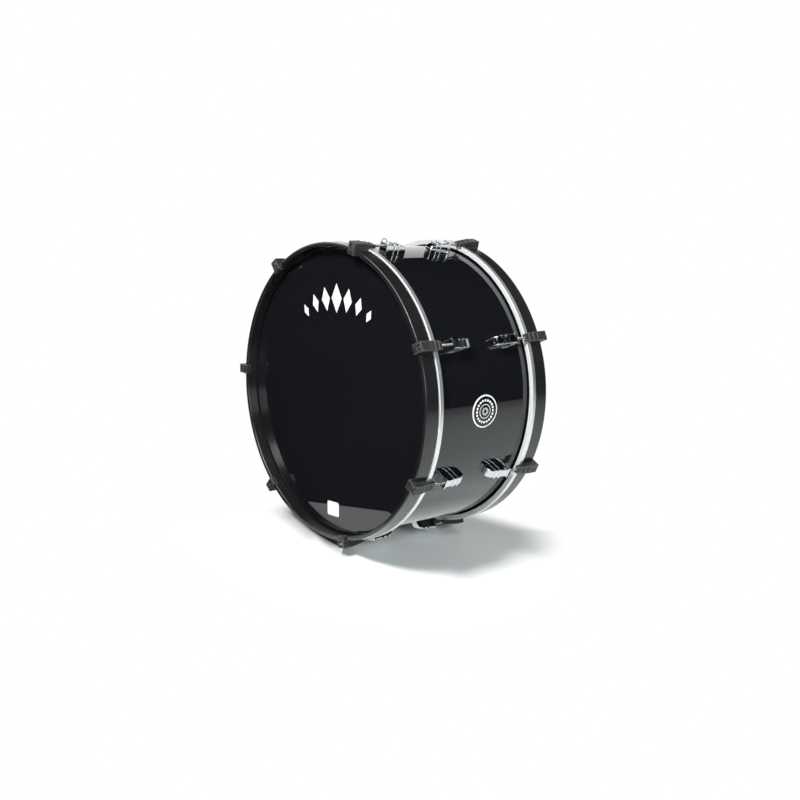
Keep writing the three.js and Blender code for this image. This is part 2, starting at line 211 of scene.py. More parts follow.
# %% Helpers for turned and extruded shapes
def lathe(profile, sides, ring=False):
    """Turns (radius, height) corners about Z. One on the axis becomes a pole; ring closes the section."""
    bm = bmesh.new()
    turns = [2 * math.pi * i / sides for i in range(sides)]
    rows = []
    for radius, height in profile:
        spokes = turns if radius > 0 else turns[:1]
        rows.append([bm.verts.new((radius * math.cos(t), radius * math.sin(t), height)) for t in spokes])
    for a, b in zip(rows, rows[1:] + rows[:1] if ring else rows[1:]):
        for i in range(sides):
            j = (i + 1) % sides
            corners = [a[i % len(a)], a[j % len(a)], b[j % len(b)], b[i % len(b)]]
            bm.faces.new(dict.fromkeys(corners))
    return bm


def prism(outlines, way):
    """Closed solids from flat outlines of corners, all pushed the same way."""
    bm = bmesh.new()
    for outline in outlines:
        bm.faces.new([bm.verts.new(corner) for corner in outline])
    pushed = bmesh.ops.extrude_face_region(bm, geom=bm.faces[:])["geom"]
    bmesh.ops.translate(bm, verts=[v for v in pushed if isinstance(v, bmesh.types.BMVert)], vec=way)
    return bm


def slab(outline, width):
    """A prism across the drum's tangent, centred, from corners of (place, radius)."""
    return prism([[(-width / 2, place, radius) for place, radius in outline]], (width, 0, 0))


def arc(centre, radius, start, end, steps):
    """Corners on an arc from one angle to another, in degrees."""
    turns = [math.radians(start + (end - start) * i / steps) for i in range(steps + 1)]
    return [(centre[0] + radius * math.cos(t), centre[1] + radius * math.sin(t)) for t in turns]


def pin(name, radius, start, end, laid):
    """A closed cylinder for cutting, drawn along Z and then laid in its place."""
    return piece_from(lathe([(0, start), (radius, start), (radius, end), (0, end)], 48), name, laid)


LIE_ALONG_Y = Matrix.Rotation(math.radians(90), 4, "X")

# %% [markdown]
# ## Camera
#
# The photograph was taken with a longish lens from a little above the drum. The drum had rolled by 16.6
# degrees from where a claw is at the top. Here the drum stays upright, so the camera is swung round the
# drum's axis by that angle instead, and its tilt gives the same picture. The shift keeps the drum left of
# the middle, as in the photograph.

# %% Place the camera
DRUM_ROLL = math.radians(16.6)
CAMERA_AZIMUTH = math.radians(50.33)
CAMERA_ELEVATION = math.radians(7.94)
CAMERA_DISTANCE = 2.8496
CAMERA_SHIFT = (0.0146, -0.0182)
LENS_MM = 53.65
roll_back = Matrix.Rotation(-DRUM_ROLL, 3, "Y")
to_camera = roll_back @ Vector((
    math.sin(CAMERA_AZIMUTH) * math.cos(CAMERA_ELEVATION),
    -math.cos(CAMERA_AZIMUTH) * math.cos(CAMERA_ELEVATION),
    math.sin(CAMERA_ELEVATION),
))
camera_right = roll_back @ Vector((math.cos(CAMERA_AZIMUTH), math.sin(CAMERA_AZIMUTH), 0))
camera_up = to_camera.cross(camera_right)

camera_data = bpy.data.cameras.new("camera")
camera_data.lens = LENS_MM
camera_data.shift_x, camera_data.shift_y = CAMERA_SHIFT
camera = in_scene("camera", camera_data)
axes = Matrix((camera_right, camera_up, to_camera)).transposed().to_4x4()
camera.matrix_world = Matrix.Translation(drum_centre + to_camera * CAMERA_DISTANCE) @ axes
bpy.context.scene.camera = camera
bpy.context.scene.view_settings.view_transform = "Standard"
print("camera at", [round(v, 3) for v in camera.matrix_world.translation])


# %% [markdown]
# ## Finishes: black lacquer and film
#
# Piano lacquer is a thick polyester coat, sanded and buffed. The eye gets almost nothing from its black
# base and nearly everything from two clear reflections, one from the colour coat and one from the polish on
# it. A trace of orange peel, a wave a few millimetres long, keeps the reflections from being too perfect.
# Film is drawn tight and has longer, weaker waves. The satin paint of the hoops was rubbed down, so its
# gloss drifts from place to place.


# %% Helpers for finishes
def new_finish(name, colour, **sockets):
    """A material with one Principled shader; sockets are set by name, with _ for a space."""
    material = bpy.data.materials.new(name)
    material.use_nodes = True
    shader = material.node_tree.nodes["Principled BSDF"]
    for socket, value in {"Base Color": linear(colour), **sockets}.items():
        feed(shader.inputs[socket.replace("_", " ")], value)
    return material, shader


def uneven(tree, apart, detail, where=None):
    """A noise with features that many mm apart, read at the place on the object or at another place."""
    where = where or add(tree, "ShaderNodeTexCoord").outputs["Object"]
    return add(tree, "ShaderNodeTexNoise", {"Vector": where, "Scale": per(apart), "Detail": detail})


def ripple(shader, apart, detail, height, where=None):
    """Waves on the surface, that many mm apart and high."""
    noise = uneven(shader.id_data, apart, detail, where)
    bump = add(shader.id_data, "ShaderNodeBump", {"Height": noise, "Distance": height * MM})
    feed(shader.inputs["Normal"], bump)


def drift(shader, apart, detail, low, high):
    """Lets the roughness drift between two values, from place to place."""
    noise = uneven(shader.id_data, apart, detail)
    rough = add(shader.id_data, "ShaderNodeMapRange", {"Value": noise, "To Min": low, "To Max": high})
    feed(shader.inputs["Roughness"], rough)


# %% Lacquer, film and paint
GLOSS_BLACK = "#131418"
lacquer, shader = new_finish(
    "black polyester lacquer, buffed", GLOSS_BLACK, Roughness=0.03, Coat_Weight=0.5, Coat_Roughness=0.02)
ripple(shader, apart=6, detail=2.0, height=0.002)

film, shader = new_finish(
    "black polyester film", GLOSS_BLACK, Roughness=0.035, Coat_Weight=0.6, Coat_Roughness=0.03)
ripple(shader, apart=90, detail=1.0, height=0.006)

hoop_paint, shader = new_finish(
    "black lacquer on maple, satin", "#1E1E1F", Roughness=0.2, Coat_Weight=0.5, Coat_Roughness=0.1)
ripple(shader, apart=2.5, detail=3.0, height=0.02)
drift(shader, apart=40, detail=4.0, low=0.16, high=0.25)
print("made", lacquer.name, "/", film.name, "/", hoop_paint.name)

# %% [markdown]
# ## Finishes: metals
#
# The flesh hoop is extruded aluminium with a satin clear coat. Its drawing lines run round the drum, so
# their noise is read from the place along the axis and the distance from it. Its sides are cut and not
# drawn, so they are duller. Chrome is nearly white and nearly a mirror. The zinc on the rods is bright but
# softer, and the wire of the eyelets is darker. The claws are powder coated, which leaves a fine pebbled
# skin that scatters light. Their corners carry a painted highlight: occlusion measured inside the metal
# finds them, and they are painted pale.

# %% Aluminium
aluminium, shader = new_finish("satin aluminium, clear coated", "#F2F3F3", Roughness=0.28, Metallic=0.7)
tree = shader.id_data
where = add(tree, "ShaderNodeTexCoord").outputs["Object"]
parts = add(tree, "ShaderNodeSeparateXYZ", {"Vector": where}).outputs
rise = add(tree, "ShaderNodeMath", {0: parts["Z"], 1: AXIS_HEIGHT}, operation="SUBTRACT")
flat_place = add(tree, "ShaderNodeCombineXYZ", {"X": parts["X"], "Y": rise})
reach = add(tree, "ShaderNodeVectorMath", {0: flat_place}, operation="LENGTH")
section = add(tree, "ShaderNodeCombineXYZ", {"X": reach, "Y": parts["Y"]})
ripple(shader, apart=1.2, detail=3.0, height=0.03, where=section)
facing = add(tree, "ShaderNodeSeparateXYZ", {"Vector": add(tree, "ShaderNodeNewGeometry").outputs["Normal"]})
sideways = add(tree, "ShaderNodeMath", {0: facing.outputs["Y"]}, operation="ABSOLUTE")
for socket, drawn, cut in (("Metallic", 0.85, 0.15), ("Roughness", 0.28, 0.65)):
    level = add(
        tree, "ShaderNodeMapRange",
        {"Value": sideways, "From Min": 0.3, "From Max": 0.7, "To Min": drawn, "To Max": cut})
    feed(shader.inputs[socket], level)
alloy = add(
    tree, "ShaderNodeMix", {0: sideways, 6: linear("#F2F3F3"), 7: linear("#DCDDDD")}, data_type="RGBA")
feed(shader.inputs["Base Color"], alloy)

# %% Chrome, wire and zinc
chrome, shader = new_finish("polished chrome", "#E3E6EA", Roughness=0.07, Metallic=1.0)
ripple(shader, apart=7, detail=2.0, height=0.01)

wire, shader = new_finish("darkened nickel plate on steel wire", "#56554F", Roughness=0.25, Metallic=1.0)
drift(shader, apart=2, detail=3.0, low=0.2, high=0.4)

zinc, shader = new_finish("bright zinc plate on steel", "#A6A6A2", Roughness=0.2, Metallic=0.9)
drift(shader, apart=3, detail=3.0, low=0.14, high=0.3)

# %% Powder coat
powder, shader = new_finish("black powder coat, fine texture", "#2D2D2E", Roughness=0.4)
tree = shader.id_data
grain = uneven(tree, 3.5, 2.0)
mottled = add(tree, "ShaderNodeMapRange", {"Value": grain, "From Min": 0.35, "From Max": 0.65})
tones = add(tree, "ShaderNodeMix", {0: mottled, 6: linear("#161617"), 7: linear("#333433")}, data_type="RGBA")
# Painted highlight: corners found by occlusion inside the metal are painted pale, as if they caught the light.
edges = add(tree, "ShaderNodeAmbientOcclusion", {"Distance": 1.6 * MM}, samples=4, inside=True)
painted_edge_highlight = add(tree, "ShaderNodeMapRange", {"Value": edges.outputs["AO"], "From Min": 1.0, "From Max": 0.6})
tones_and_edge_highlight = add(tree, "ShaderNodeMix", {0: painted_edge_highlight, 6: tones, 7: linear("#6F706F")}, data_type="RGBA")
feed(shader.inputs["Base Color"], tones_and_edge_highlight)
ripple(shader, apart=1.6, detail=3.0, height=0.3)
print("made", " / ".join(metal.name for metal in (aluminium, chrome, wire, zinc, powder)))

# %% [markdown]
# ## Shell and hoops
#
# The shell, the counter hoops and the flesh hoops are all the same idea: a small section swept round the
# drum's axis. That is a rule, so one Geometry Nodes tree makes all five. A rectangle gets its corners
# rounded, and the circle that it follows gives the ring. The ring is made about Z, laid along Y and raised
# to the drum's centre.


# %% Geometry Nodes: run a tree
def new_tree(name, **inputs):
    """A geometry tree with a material and other named inputs, given as name=kind of socket."""
    tree = bpy.data.node_groups.new(name, "GeometryNodeTree")
    for label, kind in {**inputs, "Material": "Material"}.items():
        tree.interface.new_socket(label.replace("_", " "), in_out="INPUT", socket_type="NodeSocket" + kind)
    tree.interface.new_socket("Geometry", in_out="OUTPUT", socket_type="NodeSocketGeometry")
    return tree, add(tree, "NodeGroupInput").outputs


def end_tree(tree, given, geometry):
    """Every tree ends alike: real meshes, one material, then the output. Gives the tree back."""
    real = add(tree, "GeometryNodeRealizeInstances", {"Geometry": geometry})
    coated = add(tree, "GeometryNodeSetMaterial", {"Geometry": real, "Material": given["Material"]})
    add(tree, "NodeGroupOutput", {"Geometry": coated})
    return tree


def grow(name, tree, **values):
    """Runs a tree with these inputs, set by their identifiers, and keeps the result as a plain mesh."""
    piece = in_scene(name, bpy.data.meshes.new(name))
    modifier = piece.modifiers.new("grow", "NODES")
    modifier.node_group = tree
    for item in tree.interface.items_tree:
        if item.in_out == "INPUT":
            modifier[item.identifier] = values[item.name.replace(" ", "_")]
    return bake(piece)


# %% Geometry Nodes: a swept ring
tree, given = new_tree(
    "swept ring", Outer_Radius="Float", Wall="Float", Middle="Float", Depth="Float", Edge_Round="Float",
    Round_Steps="Int", Sides="Int", Axis_Height="Float")
mid_radius = add(
    tree, "ShaderNodeMath", {0: given["Wall"], 1: -0.5, 2: given["Outer Radius"]}, operation="MULTIPLY_ADD")
path = add(tree, "GeometryNodeCurvePrimitiveCircle", {"Resolution": given["Sides"], "Radius": mid_radius})
rectangle = add(
    tree, "GeometryNodeCurvePrimitiveQuadrilateral", {"Width": given["Wall"], "Height": given["Depth"]})
rounded = add(
    tree, "GeometryNodeFilletCurve",
    {"Curve": rectangle, "Radius": given["Edge Round"], "Count": given["Round Steps"]}, mode="POLY")
sweep = add(tree, "GeometryNodeCurveToMesh", {"Curve": path, "Profile Curve": rounded})
away = add(tree, "ShaderNodeCombineXYZ", {"Y": given["Middle"], "Z": given["Axis Height"]})
laid = add(
    tree, "GeometryNodeTransform",
    {"Geometry": sweep, "Translation": away, "Rotation": (math.radians(90), 0, 0)})
swept_ring = end_tree(tree, given, laid)

RING_SIDES = POINTS * 48
ROUND_STEPS = 4


def ring(name, radius, wall, start, end, edge, material):
    """A ring from one place along the axis to another."""
    return grow(
        name, swept_ring, Outer_Radius=radius, Wall=wall, Middle=(start + end) / 2, Depth=abs(end - start),
        Edge_Round=edge, Round_Steps=ROUND_STEPS, Sides=RING_SIDES, Axis_Height=AXIS_HEIGHT, Material=material)


# %% Make the hoops
HOOP_WALL = 10 * MM
HOOP_ROUND = 3 * MM
FLESH_LAP = 0.9 * MM
FLESH_WALL = FLESH_RADIUS - (HOOP_RADIUS - HOOP_WALL) - FLESH_LAP
FLESH_ROUND = 1.1 * MM
for side, way in SIDES:
    counter = soften(ring(
        f"rim_{side}", HOOP_RADIUS, HOOP_WALL, -way * HOOP_START, -way * RIM, HOOP_ROUND, hoop_paint))
    dress(counter, hoop_paint, "painted_hoop", f"counter_hoop_{side}")
    flesh = soften(ring(
        f"flesh_ring_{side}", FLESH_RADIUS, FLESH_WALL, -way * FLESH_START, -way * FLESH_END, FLESH_ROUND,
        aluminium))
    dress(flesh, aluminium, "hoop_aluminium", f"flesh_hoop_{side}")
    print(counter.name, "and", flesh.name, "have", len(counter.data.polygons), "faces each")

# %% [markdown]
# ## Drilling the shell
#
# The shell needs one hole that shows: the vent, half way between two lugs. It is cut with a closed cylinder
# that stands square to the shell, before the shell gets its smooth shading.

# %% Make the shell
SHELL_WALL = 8 * MM
SHELL_ROUND = 3 * MM
BADGE_ANGLE = STATION * 1.5
VENT_HOLE = 6.3 * MM
DRILL_FROM, DRILL_TO = 300 * MM, 345 * MM
shell = ring("lacquered_shell", SHELL_RADIUS, SHELL_WALL, -SHELL_END, SHELL_END, SHELL_ROUND, lacquer)
square_to_badge = to_centre @ Matrix.Rotation(BADGE_ANGLE, 4, "Y")
combine(shell, "DIFFERENCE", pin("drill", VENT_HOLE, DRILL_FROM, DRILL_TO, square_to_badge))
dress(soften(shell), lacquer, "lacquered_shell", "shell")
print("shell:", len(shell.data.polygons), "faces")

# %% [markdown]
# ## Heads
#
# A head is a disc of film with a collar: it turns over the shell's rounded edge and runs down into the
# flesh hoop. A lathe suits it, because its section is short and has one sharp change of direction. The
# section here is the film drawn as a thin closed strip, outer side out and inner side back.

# %% Make the heads
FILM = 0.6 * MM
SEAT = 0.3 * MM
COLLAR_STEPS = (2.06, 7.0, 9.7)
collar_radius = HOOP_RADIUS - HOOP_WALL + FILM
collar_top, collar_grip, collar_end = [FLESH_END - step * MM for step in COLLAR_STEPS]
edge = (SHELL_RADIUS - SHELL_ROUND, SHELL_END - SHELL_ROUND)
outside = arc(edge, SHELL_ROUND + SEAT + FILM, 90, 0, 8)
inside = arc(edge, SHELL_ROUND + SEAT, 0, 90, 8)
strip = [
    (0, outside[0][1]),
    *outside,
    (outside[-1][0], collar_top),
    (collar_radius, collar_grip),
    (collar_radius, collar_end),
    (collar_radius - FILM, collar_end),
    (collar_radius - FILM, collar_grip),
    (inside[0][0], collar_top),
    *inside,
    (0, inside[-1][1]),
]
for side, way in SIDES:
    facing_out = to_centre @ Matrix.Rotation(math.radians(90 * way), 4, "X")
    head = soften(piece_from(lathe(strip, RING_SIDES), f"film_{side}", facing_out))
    dress(head, film, "head_film", f"head_{side}")
    print(head.name, "lies at", round(head.data.vertices[0].co.y, 4))

# %% [markdown]
# ## Claws
#
# A claw is a die casting: its side outline hooks over the rim, passes over both hoops and slopes down to
# the lug. Two outlines crossed give its body, one seen from the side and one from above. Its edges are
# rounded while the shape is still simple. Then come two low ridges across its back, above the edges of the
# flesh hoop, and last the recess for the key, the bore and the channel for the rod.

# %% Draw one claw
CLAW_WIDTH = 21 * MM
CLAW_TIP_WIDTH = 17.5 * MM
CLAW_CORNER = 2 * MM
CLAW_STEP = 1 * MM
HOOK_DEPTH = 6 * MM
HOOK_LIP = 2 * MM
HOOP_GAP = 0.1 * MM
ROD_RADIUS = 3 * MM
claw_low, claw_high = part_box("claw_front_1")
CLAW_CROWN = claw_high.z - AXIS_HEIGHT
CLAW_HOOK = claw_low.z - AXIS_HEIGHT
CLAW_LENGTH = CLAW_FRONT - CLAW_TIP
over_hoop = HOOP_RADIUS + HOOP_GAP
over_flesh = FLESH_RADIUS + HOOP_GAP
CROWN_END = -CLAW_FRONT + CLAW_LENGTH * 0.45
TIP_HEIGHT = ROD_AXIS + ROD_RADIUS + 1.5 * MM
outline = [
    *arc((-CLAW_FRONT + CLAW_CORNER, CLAW_HOOK + CLAW_CORNER), CLAW_CORNER, 180, 270, 4),
    (-RIM + HOOK_DEPTH, CLAW_HOOK),
    (-RIM + HOOK_DEPTH, CLAW_HOOK + HOOK_LIP),
    (-RIM - SEAT, CLAW_HOOK + HOOK_LIP),
    (-RIM - SEAT, over_hoop),
    (-FLESH_END - SEAT, over_hoop),
    (-FLESH_END - SEAT, over_flesh),
    (-CLAW_TIP, over_flesh),
    (-CLAW_TIP, TIP_HEIGHT),
    (CROWN_END, CLAW_CROWN - CLAW_STEP),
    (CROWN_END, CLAW_CROWN),
    *arc((-CLAW_FRONT + CLAW_CORNER, CLAW_CROWN - CLAW_CORNER), CLAW_CORNER, 90, 180, 4),
]
claw = piece_from(slab(outline, CLAW_WIDTH), "claw")

# %% Cross it with its plan and round it
OVERRUN = 2 * MM
CLAW_ROUND = 0.9 * MM
taper_from = -CLAW_FRONT + CLAW_LENGTH * 0.68
plan = [
    (-CLAW_WIDTH / 2, -CLAW_FRONT - OVERRUN), (CLAW_WIDTH / 2, -CLAW_FRONT - OVERRUN),
    (CLAW_WIDTH / 2, taper_from), (CLAW_TIP_WIDTH / 2, -CLAW_TIP + OVERRUN),
    (-CLAW_TIP_WIDTH / 2, -CLAW_TIP + OVERRUN), (-CLAW_WIDTH / 2, taper_from)]
above = prism([[(x, y, CLAW_HOOK - OVERRUN) for x, y in plan]], (0, 0, CLAW_CROWN - CLAW_HOOK + 2 * OVERRUN))
combine(claw, "INTERSECT", piece_from(above, "plan"))
round_edges(claw, CLAW_ROUND, segments=3, angle=25)

# %% Add the ridges
RIDGE_HALF = 1.3 * MM
RIDGE_RISE = 1.5 * MM
RIDGE_ROUND = 0.6 * MM
for place in (-FLESH_END - 3 * MM, -FLESH_START - 1 * MM):
    share = (place - CROWN_END) / (-CLAW_TIP - CROWN_END)
    height = (CLAW_CROWN - CLAW_STEP) * (1 - share) + TIP_HEIGHT * share
    start, end = place - RIDGE_HALF, place + RIDGE_HALF
    foot, top = height - OVERRUN, height + RIDGE_RISE
    ridge = piece_from(slab([(start, foot), (end, foot), (end, top), (start, top)], CLAW_TIP_WIDTH), "ridge")
    combine(claw, "UNION", round_edges(ridge, RIDGE_ROUND, segments=3, angle=25))

# %% Cut the recess, the bore and the channel
RECESS_RADIUS = 7.2 * MM
RECESS_FLOOR = CLAW_FRONT - 9 * MM
BORE_RADIUS = 3.5 * MM
BORE_DEPTH = 6 * MM
CHANNEL_START = -RECESS_FLOOR + 4.6 * MM
CHANNEL_FOOT = over_hoop - 3 * MM
half_channel = ROD_RADIUS + 0.9 * MM
on_rod_line = Matrix.Translation((0, 0, ROD_AXIS)) @ LIE_ALONG_Y
recess = pin("recess", RECESS_RADIUS, RECESS_FLOOR, CLAW_FRONT + OVERRUN, on_rod_line)
bore = pin("bore", BORE_RADIUS, RECESS_FLOOR - BORE_DEPTH, CLAW_FRONT, on_rod_line)
channel_outline = [
    (CHANNEL_START, CHANNEL_FOOT), (-CLAW_TIP + OVERRUN, CHANNEL_FOOT),
    (-CLAW_TIP + OVERRUN, ROD_AXIS + half_channel), (CHANNEL_START, ROD_AXIS + half_channel)]
channel = piece_from(slab(channel_outline, half_channel * 2), "channel")
soften(combine(claw, "DIFFERENCE", recess, bore, channel))
print("claw:", len(claw.data.polygons), "faces")

# %% [markdown]
# ## Lugs
#
# A lug is a chromed casting: a tall body whose back ends in a steep round nose, a wider plate at the end
# that takes the rod, and two round ribs over its back. The parts are rounded first and then joined into one
# closed skin, so the chrome shows crisp lines where they meet.

# %% Draw the lug's back
LUG_LENGTH = LUG_END - LUG_NOSE
LUG_WIDTH = 20 * MM
LUG_SEAT = SHELL_RADIUS - 0.2 * MM
LUG_CROWN = ROD_AXIS + 6.5 * MM
LUG_CURVE = LUG_LENGTH * 0.25
LUG_ROUND = 2.2 * MM
NOSE_HEIGHT = 9 * MM
BACK_RISE = 5 * MM
NOSE_STEPS = 20


def lug_top(place):
    """Height of the back at a place along the axis: a steep round nose, then a gentle rise to the plate."""
    bend = LUG_CROWN - BACK_RISE - LUG_SEAT - NOSE_HEIGHT
    along = max(0, (LUG_NOSE + LUG_CURVE - place) / LUG_CURVE)
    rise = BACK_RISE * (place - LUG_NOSE) / LUG_LENGTH
    return LUG_SEAT + NOSE_HEIGHT + bend * math.sqrt(max(0, 1 - along * along)) + rise


nose_turns = [math.radians(90 * i / NOSE_STEPS) for i in range(NOSE_STEPS + 1)]
back_line = [LUG_NOSE + LUG_CURVE * (1 - math.sin(t)) for t in nose_turns]
outline = [
    (-LUG_END, LUG_SEAT), (-LUG_END, LUG_CROWN), *[(-p, lug_top(p)) for p in back_line], (-LUG_NOSE, LUG_SEAT)]
lug = round_edges(piece_from(slab(outline, LUG_WIDTH), "lug"), LUG_ROUND, segments=5, angle=40)

# %% Add its plate and ribs
PLATE_WIDTH = 25 * MM
PLATE_LENGTH = 4 * MM
PLATE_TOP = LUG_CROWN + 0.8 * MM
PLATE_ROUND = 1.1 * MM
RIB_RISE = 1.4 * MM
RIB_HALF = 3.1 * MM
RIB_ROUND = 2.6 * MM
RIB_STEPS = 6
plate_end = -LUG_END + PLATE_LENGTH
corners = [(-LUG_END, LUG_SEAT), (-LUG_END, PLATE_TOP), (plate_end, PLATE_TOP), (plate_end, LUG_SEAT)]
plate = piece_from(slab(corners, PLATE_WIDTH), "plate")
combine(lug, "UNION", round_edges(plate, PLATE_ROUND, segments=4, angle=40))
for share in (0.44, 0.66):
    start = LUG_END - LUG_LENGTH * share + RIB_HALF
    line = [start - 2 * RIB_HALF * i / RIB_STEPS for i in range(RIB_STEPS + 1)]
    top = [(-place, lug_top(place) + RIB_RISE) for place in line]
    rib = piece_from(slab([(-line[0], LUG_SEAT), *top, (-line[-1], LUG_SEAT)], LUG_WIDTH + 2 * RIB_RISE), "rib")
    combine(lug, "UNION", round_edges(rib, RIB_ROUND, segments=6, angle=60))
THREAD_HOLE = 3.3 * MM
THREAD_HOLE_DEPTH = 31 * MM
thread_hole = pin("thread hole", THREAD_HOLE, LUG_END - THREAD_HOLE_DEPTH, LUG_END + OVERRUN, on_rod_line)
soften(combine(lug, "DIFFERENCE", thread_hole))
print("lug:", len(lug.data.polygons), "faces")

# %% [markdown]
# ## Seven of each, by Geometry Nodes
#
# Fittings repeat at equal steps round each end, which is what instancing is for. The tree makes seven
# points on the axis, gives each its own turn about the axis, and puts the drawn fitting on every one. The
# back end is the front end turned half way round the vertical, with its turns counted the other way, so
# that both ends line up.

# %% Geometry Nodes: a ring of fittings
tree, given = new_tree(
    "ring of fittings", Part="Object", Count="Int", Turn_Step="Float", Half_Turn="Float", Axis_Height="Float")
drawn = add(tree, "GeometryNodeObjectInfo", {"Object": given["Part"], "As Instance": True})
spots = add(tree, "GeometryNodePoints", {"Count": given["Count"]})
index = add(tree, "GeometryNodeInputIndex")
turn = add(tree, "ShaderNodeMath", {0: index, 1: given["Turn Step"]}, operation="MULTIPLY")
about_axis = add(tree, "ShaderNodeCombineXYZ", {"Y": turn})
copies = add(
    tree, "GeometryNodeInstanceOnPoints",
    {"Points": spots, "Instance": drawn.outputs["Geometry"], "Rotation": about_axis})
half = add(tree, "ShaderNodeCombineXYZ", {"Z": given["Half Turn"]})
lift = add(tree, "ShaderNodeCombineXYZ", {"Z": given["Axis Height"]})
moved = add(tree, "GeometryNodeTransform", {"Geometry": copies, "Translation": lift, "Rotation": half})
ring_of_parts = end_tree(tree, given, moved)

# %% Place claws and lugs
for part, material, slot in ((claw, powder, "coated_claw"), (lug, chrome, "chrome_lug")):
    for side, way in SIDES:
        seven = grow(
            f"{part.name}s_{side}", ring_of_parts, Part=part, Count=POINTS, Turn_Step=way * STATION,
            Half_Turn=0.0 if way == 1 else math.pi, Axis_Height=AXIS_HEIGHT, Material=material)
        dress(seven, material, slot, *[f"{part.name}_{side}_{k + 1}" for k in range(POINTS)])
        print(seven.name, len(seven.data.polygons), "faces")
    bpy.data.objects.remove(part)

# %% [markdown]
# ## Tension rods
#
# A tension rod is a 6 mm screw with a square key head. Each one turns in its own bearing, so each is a
# piece of its own on its own body. A tree makes it about Z: a plain core and a thread of 1 mm pitch that
# winds up from its lower end. The flange comes from the lathe and the square head is a rounded block. The
# same mesh then goes to all fourteen places.

# %% Geometry Nodes: a threaded rod
tree, given = new_tree(
    "threaded rod", Core_Radius="Float", Length="Float", Thread_Turns="Float", Thread_Length="Float",
    Thread_Depth="Float")
half_length = add(tree, "ShaderNodeMath", {0: given["Length"], 1: 0.5}, operation="MULTIPLY")
core = add(
    tree, "GeometryNodeMeshCylinder",
    {"Vertices": 24, "Radius": given["Core Radius"], "Depth": given["Length"]})
core_place = add(tree, "ShaderNodeCombineXYZ", {"Z": half_length})
core_up = add(tree, "GeometryNodeTransform", {"Geometry": core, "Translation": core_place})
winding = add(
    tree, "GeometryNodeCurveSpiral",
    {"Resolution": 18, "Rotations": given["Thread Turns"], "Start Radius": given["Core Radius"],
     "End Radius": given["Core Radius"], "Height": given["Thread Length"]})
crest = add(tree, "GeometryNodeCurvePrimitiveCircle", {"Resolution": 4, "Radius": given["Thread Depth"]})
thread = add(tree, "GeometryNodeCurveToMesh", {"Curve": winding, "Profile Curve": crest, "Fill Caps": True})
both = add(tree, "GeometryNodeJoinGeometry")
for made in (core_up, thread):
    feed(both.inputs[0], made)
rod_tree = end_tree(tree, given, both)

# %% Make one rod
KEY_SIDE = 6 * MM
KEY_LENGTH = 6.2 * MM
KEY_ROUND = 0.7 * MM
FLANGE = 1.8 * MM
FLANGE_RADIUS = 5 * MM
FLANGE_ROUND = 0.4 * MM
CORE_RADIUS = ROD_RADIUS - 0.3 * MM
THREAD_DEPTH = 0.4 * MM
THREAD_PITCH = 1.0 * MM
THREAD_TURNS = 56.0
rod = grow(
    "rod", rod_tree, Core_Radius=CORE_RADIUS, Length=ROD_FRONT - KEY_LENGTH - FLANGE / 2 - ROD_END,
    Thread_Turns=THREAD_TURNS, Thread_Length=THREAD_TURNS * THREAD_PITCH, Thread_Depth=THREAD_DEPTH,
    Material=zinc)
flange_foot = ROD_FRONT - ROD_END - KEY_LENGTH - FLANGE
flange_top = flange_foot + FLANGE
flange_rim = FLANGE_RADIUS - FLANGE_ROUND
flange = piece_from(lathe([
    (0, flange_foot), *arc((flange_rim, flange_foot + FLANGE_ROUND), FLANGE_ROUND, -90, 0, 4),
    *arc((flange_rim, flange_top - FLANGE_ROUND), FLANGE_ROUND, 0, 90, 4), (0, flange_top)], 40), "flange")
block = bmesh.new()
bmesh.ops.create_cube(block, size=1.0)
key_size = Matrix.Diagonal((KEY_SIDE, KEY_SIDE, KEY_LENGTH + FLANGE / 2, 1))
key = piece_from(block, "key", Matrix.Translation((0, 0, flange_top + KEY_LENGTH / 2 - FLANGE / 4)) @ key_size)
soften(combine(flange, "UNION", round_edges(key, KEY_ROUND, segments=3, angle=40)))

# %% Put it in all its places
joined = bmesh.new()
for source in (rod, flange):
    joined.from_mesh(source.data)
pattern = piece_from(joined, "rod_parts")
pattern.data.shade_smooth()
pattern.data.set_sharp_from_angle(angle=math.radians(50))
laid = Matrix.Translation((0, -ROD_END, ROD_AXIS)) @ LIE_ALONG_Y
for side, way in SIDES:
    end_turn = Matrix.Rotation(0 if way == 1 else math.pi, 4, "Z")
    for k in range(POINTS):
        node = f"tension_rod_{side}_{k + 1}"
        copy = in_scene(f"rod_{side}_{k + 1}", pattern.data.copy())
        copy.data.transform(to_centre @ end_turn @ Matrix.Rotation(way * k * STATION, 4, "Y") @ laid)
        dress(copy, zinc, "plated_steel", node, body=node)
for scrap in (rod, flange, pattern):
    bpy.data.objects.remove(scrap)
print("rods:", 2 * POINTS, "with", len(copy.data.polygons), "faces each")

# %% [markdown]
# ## Badge and vent
#
# The badge is a thin printed plate bent to the shell, held by the grommet of the vent hole. It is turned
# flat on the lathe, keeps its flat coordinates as a UV map for the print, and is then rolled round the
# drum. The print is generic: a white border round a black field, and a full ring of white dots with a thin
# circle inside it. The ink lies under a gloss film, so it is flat, with one clear reflection over it.

# %% Make the badge
BADGE_RADIUS = 36.8 * MM
BADGE_HOLE = 7.5 * MM
BADGE_TOP = 1.0 * MM
BADGE_CHAMFER = 0.5 * MM
BADGE_RINGS = 8
badge_width = BADGE_RADIUS - BADGE_CHAMFER - BADGE_HOLE
badge_steps = [BADGE_HOLE + badge_width * i / BADGE_RINGS for i in range(BADGE_RINGS + 1)]
badge_profile = [
    *[(r, BADGE_TOP) for r in badge_steps], (BADGE_RADIUS, BADGE_TOP - BADGE_CHAMFER), (BADGE_RADIUS, 0.0),
    *[(r, 0.0) for r in reversed(badge_steps)]]
flat_badge = lathe(badge_profile, 96, ring=True)
flat_map = flat_badge.loops.layers.uv.new("print")
for face in flat_badge.faces:
    for loop in face.loops:
        loop[flat_map].uv = (loop.vert.co.y / BADGE_RADIUS, -loop.vert.co.x / BADGE_RADIUS)
